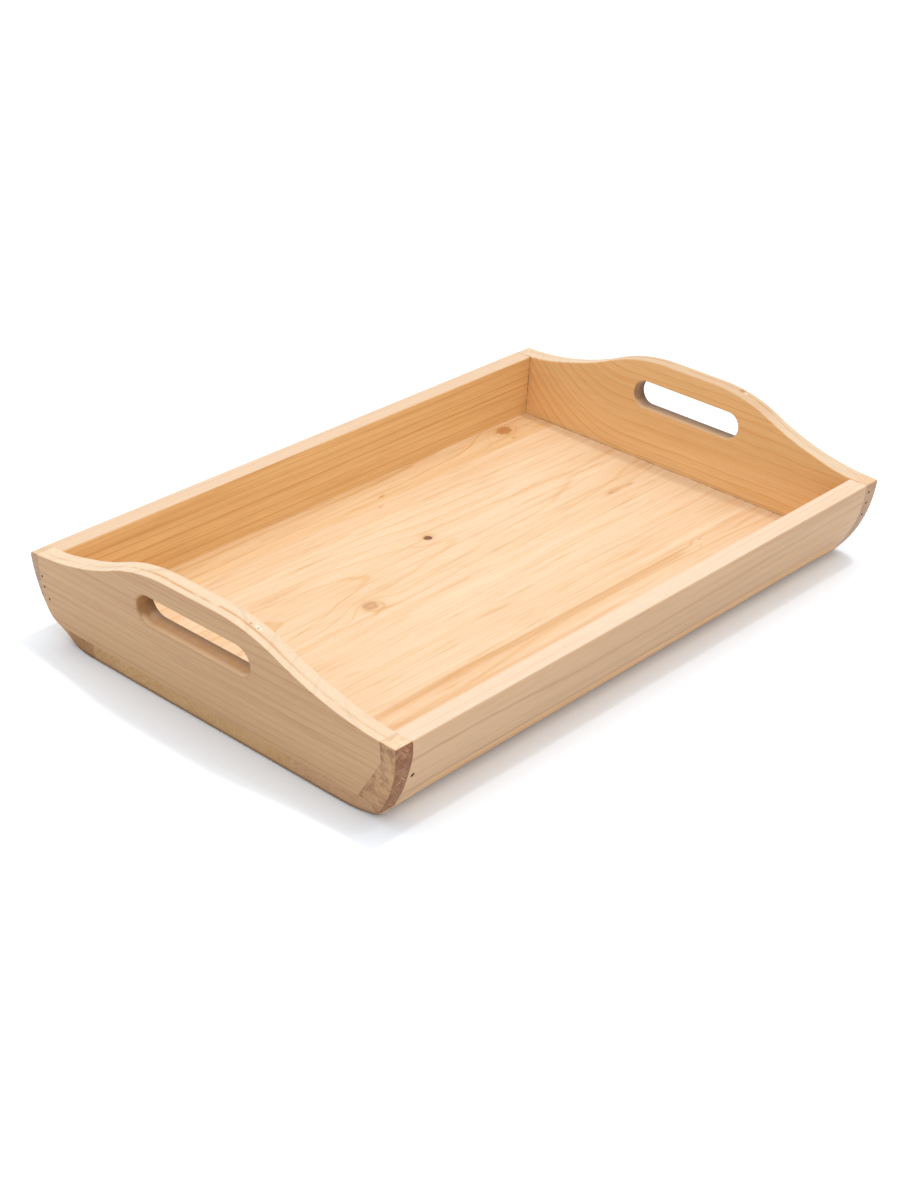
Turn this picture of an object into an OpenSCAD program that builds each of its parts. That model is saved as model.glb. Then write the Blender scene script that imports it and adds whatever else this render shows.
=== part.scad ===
// Wooden serving tray: an edge-glued base, two shaped side walls, two leaning
// end walls with a raised crest and a hand slot, four corner posts, and brads.
// X runs along the tray, Y across it, Z up. The origin is on the resting
// surface, below the middle of the tray.

/* [Tray] */
// Length over the end walls, at rim height
rim_l = 453; // [300:1:600]
// Width over the side walls, at rim height
rim_w = 300; // [270:1:420]
// Height of the rim above the resting surface
rim_h = 56; // [50:1:62]
// Height of the end walls' crests above the resting surface
crest_h = 84; // [80:1:90]

/* [Walls] */
// Thickness of the end walls
end_t = 13; // [10:0.5:16]
// Thickness of the side walls at the rim
side_t = 13.5; // [12:0.5:18]
// Outward lean of the end walls, in degrees
end_lean = 5.5; // [3:0.5:8]
// Lean of the side walls' inner faces, in degrees
side_lean = 3; // [0:0.5:4]
// How far the front face curves inward between rim and base
front_inset = 20.5; // [14:0.5:22]
// How far the back face curves inward between rim and base
back_inset = 24; // [14:0.5:25]

/* [Base] */
// Thickness of the base
base_t = 14; // [12:0.5:16]
// Depth of the rebate that seats each end wall and its posts
rebate = 3; // [1:0.5:5]
// Joint between the front board and the board behind it, from the middle
front_joint = -70; // [-90:1:-50]
// Joint near the middle of the base, from the middle
middle_joint = 2; // [-20:1:20]
// Joint in front of the back board, from the middle
back_joint = 107; // [80:1:110]

/* [Crest and hand slot] */
// Length of the straight top of the crest
crest_flat = 41; // [20:1:60]
// Radius of the convex shoulder beside the straight top
shoulder_r = 113.5; // [95:0.5:120]
// Radius of the hollow that runs out to the rim
hollow_r = 197; // [160:1:200]
// Sideways shift of the left crest
left_crest_shift = 5; // [-6:0.5:6]
// Sideways shift of the right crest
right_crest_shift = -1.5; // [-6:0.5:6]
// Length of the left hand slot
left_slot_l = 93; // [80:1:110]
// Length of the right hand slot
right_slot_l = 88; // [80:1:110]
// Height of the left hand slot
left_slot_h = 19.5; // [18:0.5:24]
// Height of the right hand slot
right_slot_h = 18.5; // [18:0.5:24]
// Height of the left hand slot's centre above the resting surface
left_slot_z = 58.3; // [55:0.1:62]
// Height of the right hand slot's centre above the resting surface
right_slot_z = 59; // [55:0.1:62]
// Sideways shift of the left hand slot
left_slot_shift = 6.5; // [-8:0.5:8]
// Sideways shift of the right hand slot
right_slot_shift = -2; // [-8:0.5:8]

/* [Corner posts] */
// Width of a front post beside the rim
front_post_w = 11.5; // [8:0.5:12]
// Width of a back post beside the rim
back_post_w = 7; // [6:0.5:12]
// Height at which a front post begins to widen downward
post_kink_z = 42; // [34:1:44]
// Width that a front post gains between there and the base
post_flare = 19.5; // [10:0.5:20]

/* [Brads] */
// Diameter of a brad's shank
brad_d = 1.4; // [1.2:0.1:1.8]
// Diameter of a brad's head
brad_head_d = 2.4; // [2:0.1:3]
// Thickness of a brad's head
brad_head_t = 0.8; // [0.6:0.1:1]
// Depth of a brad's head below the wood's surface
brad_sink = 0.7; // [0.4:0.1:1]
// Length of a brad in the walls
wall_brad_l = 28; // [22:1:32]
// Length of a brad through the base
base_brad_l = 30; // [24:1:34]

/* [Hidden] */
$fn = 96;

reach = 1000;
half_l = rim_l / 2;
half_w = rim_w / 2;
front_y = -half_w;
back_y = half_w;
lean_t = tan(end_lean);
// Each hand slot's sideways shift, height of its centre, length and height
left_slot = [left_slot_shift, left_slot_z, left_slot_l, left_slot_h];
right_slot = [right_slot_shift, right_slot_z, right_slot_l, right_slot_h];
// Seat of the end walls in the base's rebates
seat_z = base_t - rebate;
// Rise and run of the two arcs between the crest and the rim
crest_rise = (crest_h - rim_h) / cos(end_lean);
arcs_r = shoulder_r + hollow_r;
arcs_angle = acos(1 - crest_rise / arcs_r);
arcs_run = arcs_r * sin(arcs_angle);
// Far end of the convex arc, from the end of the straight top
shoulder_run = shoulder_r * sin(arcs_angle);
shoulder_drop = shoulder_r * (1 - cos(arcs_angle));
// Inner edges of the posts
front_post_y = front_y + front_post_w;
back_post_y = back_y - back_post_w;
// Middle of an end wall's thickness at its seat in the base
seat_x = half_l - (rim_h - seat_z) * lean_t - end_t / 2;
// Brads in the back corners, as distances in from the back face and heights
back_brads = [[9, 42], [9.8, 35], [13, 27.5]];
// Brads in the front right post, as heights, and their distance in from the end
front_right_brad_zs = [50, 42, 33];
front_right_brad_x = half_l - 9.5;
// The slanting brad that ties the front wall to the front left post
toe_brad_x = half_l - 17.5;
toe_brad_z = 31;
toe_angle = 25;
base_brad_ys = [-96, -34, 40, 92];

end_c = "BurlyWood";
pale_c = "Wheat";
warm_c = "SandyBrown";
post_c = "Peru";
steel_c = "SlateGray";

// Radius of an arc that starts upright at the rim and reaches the inset at the base
function side_r(inset) = (rim_h * rim_h + inset * inset) / (2 * inset);

// How far a side face has curved inward at height z
function inset_at(inset, z) =
    side_r(inset) - sqrt(pow(side_r(inset), 2) - pow(rim_h - z, 2));

// Everything on the tray's side of one curved side face, in a y-z sketch
module inside_of_side(inset) {
    r = side_r(inset);
    translate([-half_w + r, rim_h])
        circle(r, $fn = 240);
    translate([-half_w + r, -reach / 2])
        square([reach, reach]);
    translate([-half_w, rim_h])
        square([reach, reach]);
}

// Section of the tray's outer form across its length
module body_section() {
    intersection() {
        inside_of_side(front_inset);
        mirror([1, 0])
            inside_of_side(back_inset);
        translate([-half_w, 0])
            square([rim_w, crest_h * 2]);
    }
}

// Stands a y-z sketch up and extends it along the tray
module along_tray(length) {
    rotate([90, 0, 90])
        linear_extrude(length, center = true)
            children();
}

// Everything within the tray's outer side faces
module body_form() {
    along_tray(rim_l * 1.2)
        body_section();
}

// Tilts what is drawn upright at x = 0 onto the left end's outer face
module lean_left() {
    translate([-half_l, 0, rim_h])
        rotate([0, -end_lean, 0])
            children();
}

// All that lies outward of the left end's inner face, offset inward by depth
module beyond_left(depth) {
    lean_left()
        translate([depth - reach, -reach / 2, -reach / 2])
            cube([reach, reach, reach]);
}

// The same at the right end
module beyond_right(depth) {
    mirror([1, 0, 0])
        beyond_left(depth);
}

// Keeps what lies between the leaning end planes, offset inward by depth
module between_ends(depth) {
    difference() {
        children();
        beyond_left(depth);
        beyond_right(depth);
    }
}

// One side of the crest: the shoulder, and the hollow that meets the rim
module crest_flank() {
    difference() {
        union() {
            intersection() {
                translate([0, crest_rise - shoulder_r])
                    circle(shoulder_r, $fn = 240);
                square([shoulder_run, crest_rise]);
            }
            polygon([[shoulder_run, 0], [arcs_run, 0],
                [shoulder_run, crest_rise - shoulder_drop]]);
        }
        translate([arcs_run, hollow_r])
            circle(hollow_r, $fn = 360);
    }
}

// Outline of an end wall above and below the rim line, which is at 0
module end_outline(shift) {
    translate([-half_w, -rim_h * 1.5])
        square([rim_w, rim_h * 1.5]);
    translate([shift - crest_flat / 2, 0])
        square([crest_flat, crest_rise]);
    for (side = [-1, 1])
        translate([shift + side * crest_flat / 2, 0])
            mirror([side < 0 ? 1 : 0, 0])
                crest_flank();
}

// Hand slot with round ends, measured from the rim line
module slot_outline(slot) {
    shift = slot[0];
    middle_z = slot[1];
    height = slot[3];
    straight = slot[2] - height;
    translate([shift, (middle_z - rim_h) / cos(end_lean)]) {
        square([straight, height], center = true);
        for (side = [-1, 1])
            translate([side * straight / 2, 0])
                circle(height / 2);
    }
}

// A whole left end, in one piece: wall and posts together
module end_slab(crest_shift) {
    intersection() {
        body_form();
        lean_left()
            translate([end_t / 2, 0, 0])
                along_tray(end_t)
                    end_outline(crest_shift);
        translate([-reach, -half_w, seat_z])
            cube([reach, rim_w, reach]);
    }
}

// Section of the space that a front post takes, in a y-z sketch
module front_post_section() {
    polygon([[front_y - 1, 0], [front_y - 1, crest_h], [front_post_y, crest_h],
        [front_post_y, post_kink_z], [front_post_y + post_flare, seat_z],
        [front_post_y + post_flare, 0]]);
}

module back_post_section() {
    translate([back_post_y, 0])
        square([back_post_w + 1, crest_h]);
}

// End wall between its posts, drawn at the left end
module end_wall_body(crest_shift, slot) {
    difference() {
        end_slab(crest_shift);
        along_tray(reach)
            front_post_section();
        along_tray(reach)
            back_post_section();
        lean_left()
            along_tray(end_t * 4)
                slot_outline(slot);
    }
}

module front_post_body(crest_shift) {
    intersection() {
        end_slab(crest_shift);
        along_tray(reach)
            front_post_section();
    }
}

module back_post_body(crest_shift) {
    intersection() {
        end_slab(crest_shift);
        along_tray(reach)
            back_post_section();
    }
}

// Side wall on the front, as a plank whose inner face leans a little
module front_wall_body() {
    foot_y = front_y + side_t + (rim_h - base_t) * tan(side_lean);
    between_ends(end_t)
        intersection() {
            body_form();
            along_tray(reach)
                polygon([[front_y - 1, base_t], [foot_y, base_t],
                    [front_y + side_t, rim_h], [front_y - 1, rim_h]]);
        }
}

// The same on the back
module back_wall_body() {
    foot_y = back_y - side_t - (rim_h - base_t) * tan(side_lean);
    between_ends(end_t)
        intersection() {
            body_form();
            along_tray(reach)
                polygon([[back_y + 1, base_t], [foot_y, base_t],
                    [back_y - side_t, rim_h], [back_y + 1, rim_h]]);
        }
}

// Strip of the base between two joints, with the end walls' rebates cut away
module base_strip(from_y, to_y) {
    difference() {
        between_ends(0)
            intersection() {
                body_form();
                translate([-reach / 2, from_y, 0])
                    cube([reach, to_y - from_y, base_t]);
            }
        for (side = [0, 1])
            mirror([side, 0, 0])
                intersection() {
                    beyond_left(end_t);
                    translate([-reach / 2, -reach / 2, seat_z])
                        cube([reach, reach, reach]);
                }
    }
}

// A brad that enters the wood along +Z from the surface at z = 0
module brad(length) {
    translate([0, 0, brad_sink])
        cylinder(d = brad_head_d, h = brad_head_t, $fn = 32);
    translate([0, 0, brad_sink + brad_head_t])
        cylinder(d = brad_d, h = length - brad_head_t, $fn = 32);
}

// The hole that a brad leaves, open at the surface
module brad_hole(length) {
    translate([0, 0, -end_t])
        cylinder(d = brad_head_d, h = end_t + brad_sink + brad_head_t, $fn = 32);
    translate([0, 0, brad_sink])
        cylinder(d = brad_d, h = length, $fn = 32);
}

// Places of the brads. Each child is drawn along +Z from the wood's surface.
module at_front_left() {
    translate([-toe_brad_x, front_y + inset_at(front_inset, toe_brad_z), toe_brad_z])
        rotate([0, 0, toe_angle])
            rotate([-90, 0, 0])
                children();
}

module at_front_right() {
    for (z = front_right_brad_zs)
        translate([front_right_brad_x, front_y + inset_at(front_inset, z), z])
            rotate([-90, 0, 0])
                children();
}

module at_back_left() {
    for (place = back_brads)
        translate([-half_l + (rim_h - place[1]) * lean_t, back_y - place[0], place[1]])
            rotate([0, 90, 0])
                children();
}

module at_back_right() {
    mirror([1, 0, 0])
        at_back_left()
            children();
}

module at_left_base() {
    for (y = base_brad_ys)
        translate([-seat_x, y, 0])
            children();
}

module at_right_base() {
    mirror([1, 0, 0])
        at_left_base()
            children();
}

module all_brad_holes() {
    at_front_left()
        brad_hole(wall_brad_l);
    at_front_right()
        brad_hole(wall_brad_l);
    at_back_left()
        brad_hole(wall_brad_l);
    at_back_right()
        brad_hole(wall_brad_l);
    at_left_base()
        brad_hole(base_brad_l);
    at_right_base()
        brad_hole(base_brad_l);
}

// Wood with the brads' holes in it
module drilled() {
    difference() {
        children();
        all_brad_holes();
    }
}

module base_board_front() {
    color(warm_c) drilled() base_strip(front_y, front_joint);
}

module base_board_centre() {
    color(pale_c) drilled() base_strip(front_joint, middle_joint);
}

module base_board_wide() {
    color(end_c) drilled() base_strip(middle_joint, back_joint);
}

module base_board_back() {
    color(warm_c) drilled() base_strip(back_joint, back_y);
}

module front_side_wall() {
    color(pale_c) drilled() front_wall_body();
}

module back_side_wall() {
    color(pale_c) drilled() back_wall_body();
}

module left_end_wall() {
    color(end_c)
        drilled()
            end_wall_body(left_crest_shift, left_slot);
}

module right_end_wall() {
    color(end_c)
        drilled()
            mirror([1, 0, 0])
                end_wall_body(right_crest_shift, right_slot);
}

module front_left_post() {
    color(post_c) drilled() front_post_body(left_crest_shift);
}

module front_right_post() {
    color(post_c) drilled() mirror([1, 0, 0]) front_post_body(right_crest_shift);
}

module back_left_post() {
    color(post_c) drilled() back_post_body(left_crest_shift);
}

module back_right_post() {
    color(post_c) drilled() mirror([1, 0, 0]) back_post_body(right_crest_shift);
}

module front_left_brad() {
    color(steel_c) at_front_left() brad(wall_brad_l);
}

module front_right_brads() {
    color(steel_c) at_front_right() brad(wall_brad_l);
}

module back_left_brads() {
    color(steel_c) at_back_left() brad(wall_brad_l);
}

module back_right_brads() {
    color(steel_c) at_back_right() brad(wall_brad_l);
}

module left_base_brads() {
    color(steel_c) at_left_base() brad(base_brad_l);
}

module right_base_brads() {
    color(steel_c) at_right_base() brad(base_brad_l);
}

base_board_front();
base_board_centre();
base_board_wide();
base_board_back();
front_side_wall();
back_side_wall();
left_end_wall();
right_end_wall();
front_left_post();
front_right_post();
back_left_post();
back_right_post();
front_left_brad();
front_right_brads();
back_left_brads();
back_right_brads();
left_base_brads();
right_base_brads();
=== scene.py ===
# Wooden serving tray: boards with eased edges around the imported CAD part, procedural pine and
# steel, a pale floor and soft light. Lengths are in millimetres until a mesh is made.
import math

import bmesh
import bpy
import numpy as np
from mathutils import Matrix, Vector
from mathutils.geometry import delaunay_2d_cdt


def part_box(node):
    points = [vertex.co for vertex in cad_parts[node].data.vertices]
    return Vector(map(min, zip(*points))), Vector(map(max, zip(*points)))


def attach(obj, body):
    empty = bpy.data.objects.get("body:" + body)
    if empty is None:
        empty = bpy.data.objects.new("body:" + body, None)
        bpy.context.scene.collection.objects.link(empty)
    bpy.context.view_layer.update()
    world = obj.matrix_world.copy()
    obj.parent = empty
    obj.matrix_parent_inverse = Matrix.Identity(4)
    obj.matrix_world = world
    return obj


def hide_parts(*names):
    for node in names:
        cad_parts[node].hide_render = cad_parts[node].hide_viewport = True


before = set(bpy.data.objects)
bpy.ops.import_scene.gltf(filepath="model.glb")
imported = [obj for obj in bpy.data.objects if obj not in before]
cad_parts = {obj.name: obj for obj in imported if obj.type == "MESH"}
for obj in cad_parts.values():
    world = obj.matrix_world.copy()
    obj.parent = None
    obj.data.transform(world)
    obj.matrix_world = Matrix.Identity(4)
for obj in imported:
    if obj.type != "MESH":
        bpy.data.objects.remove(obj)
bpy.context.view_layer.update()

MM = 1000.0

# ---------------------------------------------------------------- sizes, as in part.scad
END_LEAN = math.radians(5.5)
SIDE_LEAN = math.radians(3)
END_T, SIDE_T = 13.0, 13.5
FRONT_INSET, BACK_INSET = 20.5, 24.0
CREST_FLAT, SHOULDER_R, HOLLOW_R = 41.0, 113.5, 197.0
CREST_SHIFT = {"left": 5.0, "right": -1.5}
# Each hand slot's sideways shift, height of its centre, length and height
SLOTS = {"left": (6.5, 58.3, 93.0, 19.5), "right": (-2.0, 59.0, 88.0, 18.5)}
FRONT_POST_W, BACK_POST_W = 11.5, 7.0
POST_KINK_Z, POST_FLARE = 42.0, 19.5
# Radius of the rounded arris on top of the side walls
SIDE_TOP = 1.9
# Thickness of a brad's head, and how far the brads in one node stand apart at least
HEAD_T, BRAD_GAP = 0.8, 3.0
# Radii of the holes over the brads' heads: open, small, and partly closed by the wood
OPEN_HOLE, NAIL_HOLE, TIGHT_HOLE = 1.3, 0.9, 0.75

# Roundings: arrises that hands meet, posts, foot, and the fine break at a glued joint
ARRIS, POST_ARRIS, FOOT_ARRIS, SEAM = 1.0, 1.2, 4.4, 0.09
TOP_CORNER = {"front": 1.6, "back": 2.6}
# The slot's worn edge, outside and inside
SLOT_ARRIS = 2.4, 1.2
# Open joints: at the side walls' ends, and at the floor's ends
WALL_GAP, FLOOR_GAP = -0.03, 0.3
# How much the lower corners of the ends are sanded in, along what length, and how high up
CORNER_IN, CORNER_RUN, CORNER_TOP = 7.0, 26.0, 17.0
# How far the joint below the front posts drops towards the tray's corner, and how much the
# joint behind them comes forward below the rim
TIP_DROP, SEAM_IN = 6.0, 2.0
# Sanding acts beyond this distance from the middle, and fully after the second one more:
# along the tray for all of it, across it for the drop and for the joint behind
END_ZONE, TIP_ZONE, SEAM_ZONE = (190.0, 20.0), (124.0, 14.0), (122.0, 10.0)
# The joint behind starts to come forward this far below the rim, and is there after 18 more
BELOW_RIM, SEAM_RUN = 8.0, 18.0
# Height above the rim over which an end wall's top edge turns square to the leaning wall
SQUARE_H = 6.0
# A joint up to the top edge has its last point this far below it
TOP_BAND = 4.0
# Steps round an eased arris
STEPS = 5
# Edges that turn by more than this stay crisp in the shading
CRISP = math.radians(34)


def add_object(name, data):
    """A new object in the scene."""
    obj = bpy.data.objects.new(name, data)
    bpy.context.scene.collection.objects.link(obj)
    return obj


def new_material(name):
    """A material, its nodes and its shader."""
    mat = bpy.data.materials.new(name)
    mat.use_nodes = True
    return mat, mat.node_tree, mat.node_tree.nodes["Principled BSDF"]


def box_mm(node):
    """A CAD node's lowest and highest corner."""
    lo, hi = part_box(node)
    return np.array(lo) * MM, np.array(hi) * MM


LEAN_T, LEAN_S, LEAN_C = math.tan(END_LEAN), math.sin(END_LEAN), math.cos(END_LEAN)
RIM_H = box_mm("front_side_wall")[1][2]
HALF_W = -box_mm("front_side_wall")[0][1]
BASE_T = box_mm("base_board_centre")[1][2]
SEAT_Z = box_mm("left_end_wall")[0][2]
CREST_H = box_mm("left_end_wall")[1][2] - END_T * LEAN_S
HALF_L = box_mm("base_board_centre")[1][0] + (RIM_H - SEAT_Z) * LEAN_T
JOINTS = [box_mm("base_board_centre")[0][1], box_mm("base_board_wide")[0][1],
          box_mm("base_board_back")[0][1]]
POST_Y = {"front": -HALF_W + FRONT_POST_W, "back": HALF_W - BACK_POST_W}


def bend_radius(side):
    """Radius of the curve of the tray's side; side is -1 in front and 1 behind."""
    inset = FRONT_INSET if side < 0 else BACK_INSET
    return (RIM_H ** 2 + inset ** 2) / (2 * inset)


def side_y(side, z):
    """Outer face of the tray's side at height z."""
    r = bend_radius(side)
    drop = np.maximum(RIM_H - np.asarray(z, float), 0)
    return side * (HALF_W - (r - np.sqrt(r * r - drop ** 2)))


def end_x(z, depth=0.0):
    """Distance from the middle to an end wall's plane at height z, depth in from outside."""
    return HALF_L - (RIM_H - np.asarray(z, float)) * LEAN_T - depth / LEAN_C


def crest_z(y, shift):
    """Height of an end wall's top edge, on its outer face."""
    rise = (CREST_H - RIM_H) / LEAN_C
    angle = math.acos(1 - rise / (SHOULDER_R + HOLLOW_R))
    run, knee = (SHOULDER_R + HOLLOW_R) * math.sin(angle), SHOULDER_R * math.sin(angle)
    u = np.maximum(np.abs(np.asarray(y, float) - shift) - CREST_FLAT / 2, 0)
    top = rise - SHOULDER_R + np.sqrt(np.maximum(SHOULDER_R ** 2 - np.minimum(u, knee) ** 2, 0))
    low = HOLLOW_R - np.sqrt(HOLLOW_R ** 2 - np.maximum(run - u, 0) ** 2)
    return RIM_H + np.where(u < knee, top, low) * LEAN_C


# ---------------------------------------------------------------- boards with eased edges
def spread(points, step=7.0):
    """The same open line with no gap between points longer than step."""
    points = [np.array(p, float) for p in points]
    out = [points[0]]
    for a, b in zip(points, points[1:]):
        n = max(1, math.ceil(np.linalg.norm((b - a)[:2]) / step))
        out += [a + (b - a) * k / n for k in range(1, n + 1)]
    return out


def cut_line(line, length):
    """The line without its first part of that length."""
    line = [np.array(p, float) for p in line]
    while len(line) > 2 and np.linalg.norm((line[1] - line[0])[:2]) <= length:
        length -= np.linalg.norm((line[1] - line[0])[:2])
        line.pop(0)
    gap = np.linalg.norm((line[1] - line[0])[:2])
    line[0] = line[0] + (line[1] - line[0]) * min(length / gap, 0.9)
    return line


def loop(parts):
    """A closed outline from (line, corner radius at its start, arris on face 0, on face 1).
    Each line ends where the next begins. Gives points, and the two arrises of each edge."""
    lines = [spread(p[0]) for p in parts]
    radii = [p[1] for p in parts]
    points, arris = [], []
    for i, (_, radius, *arr) in enumerate(parts):
        before = parts[i - 1][2:]
        line = lines[i]
        if radius:
            corner = line[0]
            line = cut_line(line, radius)
            start = cut_line(lines[i - 1][::-1], radius)[0]
            for k in range(5):
                s = k / 5
                points.append((1 - s) ** 2 * start + 2 * s * (1 - s) * corner + s * s * line[0])
                arris.append([before[j] + (arr[j] - before[j]) * (s + 0.1) for j in (0, 1)])
        after = radii[(i + 1) % len(parts)]
        if after:
            line = cut_line(line[::-1], after)[::-1]
        big = max(*before, *arr)
        if big > 3 * min(arr) and np.linalg.norm((line[1] - line[0])[:2]) > 1.5 * big:
            line = [line[0], line[0] + (line[1] - line[0]) * 1.2 * big
                    / np.linalg.norm((line[1] - line[0])[:2]), *line[1:]]
        points += line[:-1]
        arris += [list(arr)] * (len(line) - 1)
        if after:
            points.append(line[-1])
            arris.append(list(arr))
    keep = [i for i in range(len(points))
            if np.linalg.norm((points[i] - points[i - 1])[:2]) > 1e-4]
    return np.array([points[i] for i in keep]), np.array([arris[i] for i in keep])


def inward(points, widths):
    """For each corner of an outline, the move that takes each edge inward by its width."""
    d = np.roll(points, -1, 0)[:, :2] - points[:, :2]
    n = np.stack([-d[:, 1], d[:, 0]], 1) / np.linalg.norm(d, axis=1)[:, None]
    n0, w0 = np.roll(n, 1, 0), np.roll(widths, 1)
    det = n0[:, 0] * n[:, 1] - n0[:, 1] * n[:, 0]
    smooth = (n0 * w0[:, None] + n * widths[:, None]) / 2
    flat = np.abs(det) < 0.25
    det = np.where(flat, 1, det)
    sharp = np.stack([w0 * n[:, 1] - widths * n0[:, 1], widths * n0[:, 0] - w0 * n[:, 0]],
                     1) / det[:, None]
    return np.where(flat[:, None], smooth, sharp)


def inside(p, loops):
    """Whether p lies inside an odd number of the closed outlines."""
    odd = False
    for q in loops:
        a, b = q, np.roll(q, -1, 0)
        hit = (a[:, 1] > p[1]) != (b[:, 1] > p[1])
        with np.errstate(divide="ignore", invalid="ignore"):
            x = a[:, 0] + (p[1] - a[:, 1]) * (b[:, 0] - a[:, 0]) / (b[:, 1] - a[:, 1])
        odd ^= bool(np.count_nonzero(hit & (x > p[0])) % 2)
    return odd


def ease(t):
    """From 0 to 1 with a soft start and end."""
    t = np.clip(t, 0, 1)
    return t * t * (3 - 2 * t)


def sand(v):
    """Eases the lower corners and the post joints, by place only, so that joints stay shut."""
    far = np.clip((np.abs(v[:, 0]) - END_ZONE[0]) / END_ZONE[1], 0, 1)
    hand, side = np.sign(v[:, 0]), np.where(v[:, 1] < 0, -1.0, 1.0)
    edge = np.where(side < 0, -side_y(-1, v[:, 2]), side_y(1, v[:, 2]))
    reach = np.clip((np.abs(v[:, 1]) - edge + CORNER_RUN) / CORNER_RUN, 0, 1)
    turned = 1 - np.sqrt(1 - reach ** 2)
    v[:, 0] -= hand * CORNER_IN * turned * ease((CORNER_TOP - v[:, 2]) / CORNER_TOP) * far
    near = ease((-v[:, 1] - TIP_ZONE[0]) / TIP_ZONE[1]) * far
    drop = TIP_DROP * near * np.clip(1 - np.abs(v[:, 2] - SEAT_Z) / SEAT_Z, 0, 1)
    v[:, 1] += (side_y(-1, v[:, 2] - drop) - side_y(-1, v[:, 2])) * near
    v[:, 2] -= drop
    depth = np.clip((end_x(v[:, 2]) - np.abs(v[:, 0])) / END_T, 0, 1)
    back = ease((-v[:, 1] - SEAM_ZONE[0]) / SEAM_ZONE[1])
    back = back * ease((RIM_H - BELOW_RIM - v[:, 2]) / SEAM_RUN)
    v[:, 0] += hand * SEAM_IN * depth * back * far
    return v


def eased(points, widths, near, far):
    """An outline on its flat face, and rings of points from there round the arris; near and far
    place an outline on this face and on the other one."""
    move = inward(points, widths)
    radius = np.maximum(widths, np.roll(widths, 1))
    rings = []
    for k in range(STEPS + 1):
        turn = math.pi / 2 * k / STEPS
        q = points.copy()
        q[:, :2] += move * (1 - math.sin(turn))
        if k == 0:
            flat = q
        a, b = near(q), far(q)
        way = (b - a) / np.linalg.norm(b - a, axis=1)[:, None]
        rings.append(a + way * (radius * (1 - math.cos(turn)))[:, None])
    return flat, rings


def grid_points(outlines, gap):
    """A grid of points inside the outlines, clear of their corners."""
    corners = np.vstack(outlines)[:, :2]
    lo, hi = corners.min(0), corners.max(0)
    found = []
    for u in np.arange(lo[0] + gap / 2, hi[0], gap):
        for v in np.arange(lo[1] + gap / 2, hi[1], gap):
            clear = np.min(np.linalg.norm(corners - (u, v), axis=1)) > gap * 0.45
            if clear and inside((u, v), outlines):
                found.append((u, v, 0.0))
    return found


def fill(outlines, extra):
    """Triangles over the outlines and the points inside them, as the numbers of the points."""
    edges, start = [], 0
    for q in outlines:
        edges += [(start + i, start + (i + 1) % len(q)) for i in range(len(q))]
        start += len(q)
    flat = np.vstack([*outlines, extra]) if extra else np.vstack(outlines)
    spots, _, triangles, origins, *_ = delaunay_2d_cdt([Vector(p[:2]) for p in flat], edges, [],
                                                       0, 1e-5)
    origin = [o[0] if o else None for o in origins]
    found = []
    for tri in triangles:
        centre = sum((Vector(spots[i]) for i in tri), Vector((0, 0))) / len(tri)
        if inside(centre, outlines) and None not in [origin[i] for i in tri]:
            found.append([origin[i] for i in tri])
    return found


def board(name, loops, face0, face1, cuts=1, grid=0.0):
    """A piece between two faces, which place an outline's points, with every edge eased."""
    verts, faces = [], []
    outlines, rims = ([], []), ([], [])

    def add(points):
        start = sum(len(v) for v in verts)
        verts.append(points)
        return np.arange(start, start + len(points))

    for points, arris in loops:
        flat0, front = eased(points, arris[:, 0], face0, face1)
        flat1, back = eased(points, arris[:, 1], face1, face0)
        across = (back[-1] - front[-1]) / cuts
        middle = [front[-1] + across * k for k in range(1, cuts)]
        rings = [add(r) for r in front + middle + back[::-1]]
        for face, flat, rim in ((0, flat0, rings[0]), (1, flat1, rings[-1])):
            outlines[face].append(flat)
            rims[face].append(rim)
        for lo, hi in zip(rings, rings[1:]):
            for i in range(len(lo)):
                j = (i + 1) % len(lo)
                faces.append((lo[i], lo[j], hi[j], hi[i]))
    for place, flats, ids in ((face0, outlines[0], rims[0]), (face1, outlines[1], rims[1])):
        extra = grid_points(flats, grid) if grid else []
        if extra:
            ids = [*ids, add(place(np.array(extra)))]
        ids = np.concatenate(ids)
        faces += [tuple(ids[i] for i in tri) for tri in fill(flats, extra)]
    mesh = bpy.data.meshes.new(name)
    mesh.from_pydata((sand(np.vstack(verts)) / MM).tolist(), [],
                     [tuple(int(i) for i in f) for f in faces])
    bm = bmesh.new()
    bm.from_mesh(mesh)
    bmesh.ops.remove_doubles(bm, verts=bm.verts, dist=1e-6)
    bmesh.ops.dissolve_degenerate(bm, edges=bm.edges, dist=1e-7)
    bmesh.ops.recalc_face_normals(bm, faces=bm.faces)
    for f in bm.faces:
        f.smooth = True
    bm.to_mesh(mesh)
    bm.free()
    return add_object(name, mesh)


def crease(mesh):
    """Keeps the shading from running over sharp edges."""
    bm = bmesh.new()
    bm.from_mesh(mesh)
    for e in bm.edges:
        e.smooth = len(e.link_faces) < 2 or e.calc_face_angle() < CRISP
    bm.to_mesh(mesh)
    bm.free()


def brads_in(node, side, up):
    """A node's points in millimetres, brad by brad, seen along the brads."""
    brads = []
    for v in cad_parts[node].data.vertices:
        q = v.co * MM
        seen = Vector((q.dot(side), q.dot(up)))
        known = [points for first, points in brads if (first - seen).length < BRAD_GAP]
        if known:
            known[0].append(q)
        else:
            brads.append((seen, [q]))
    return [points for _, points in brads]


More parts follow.
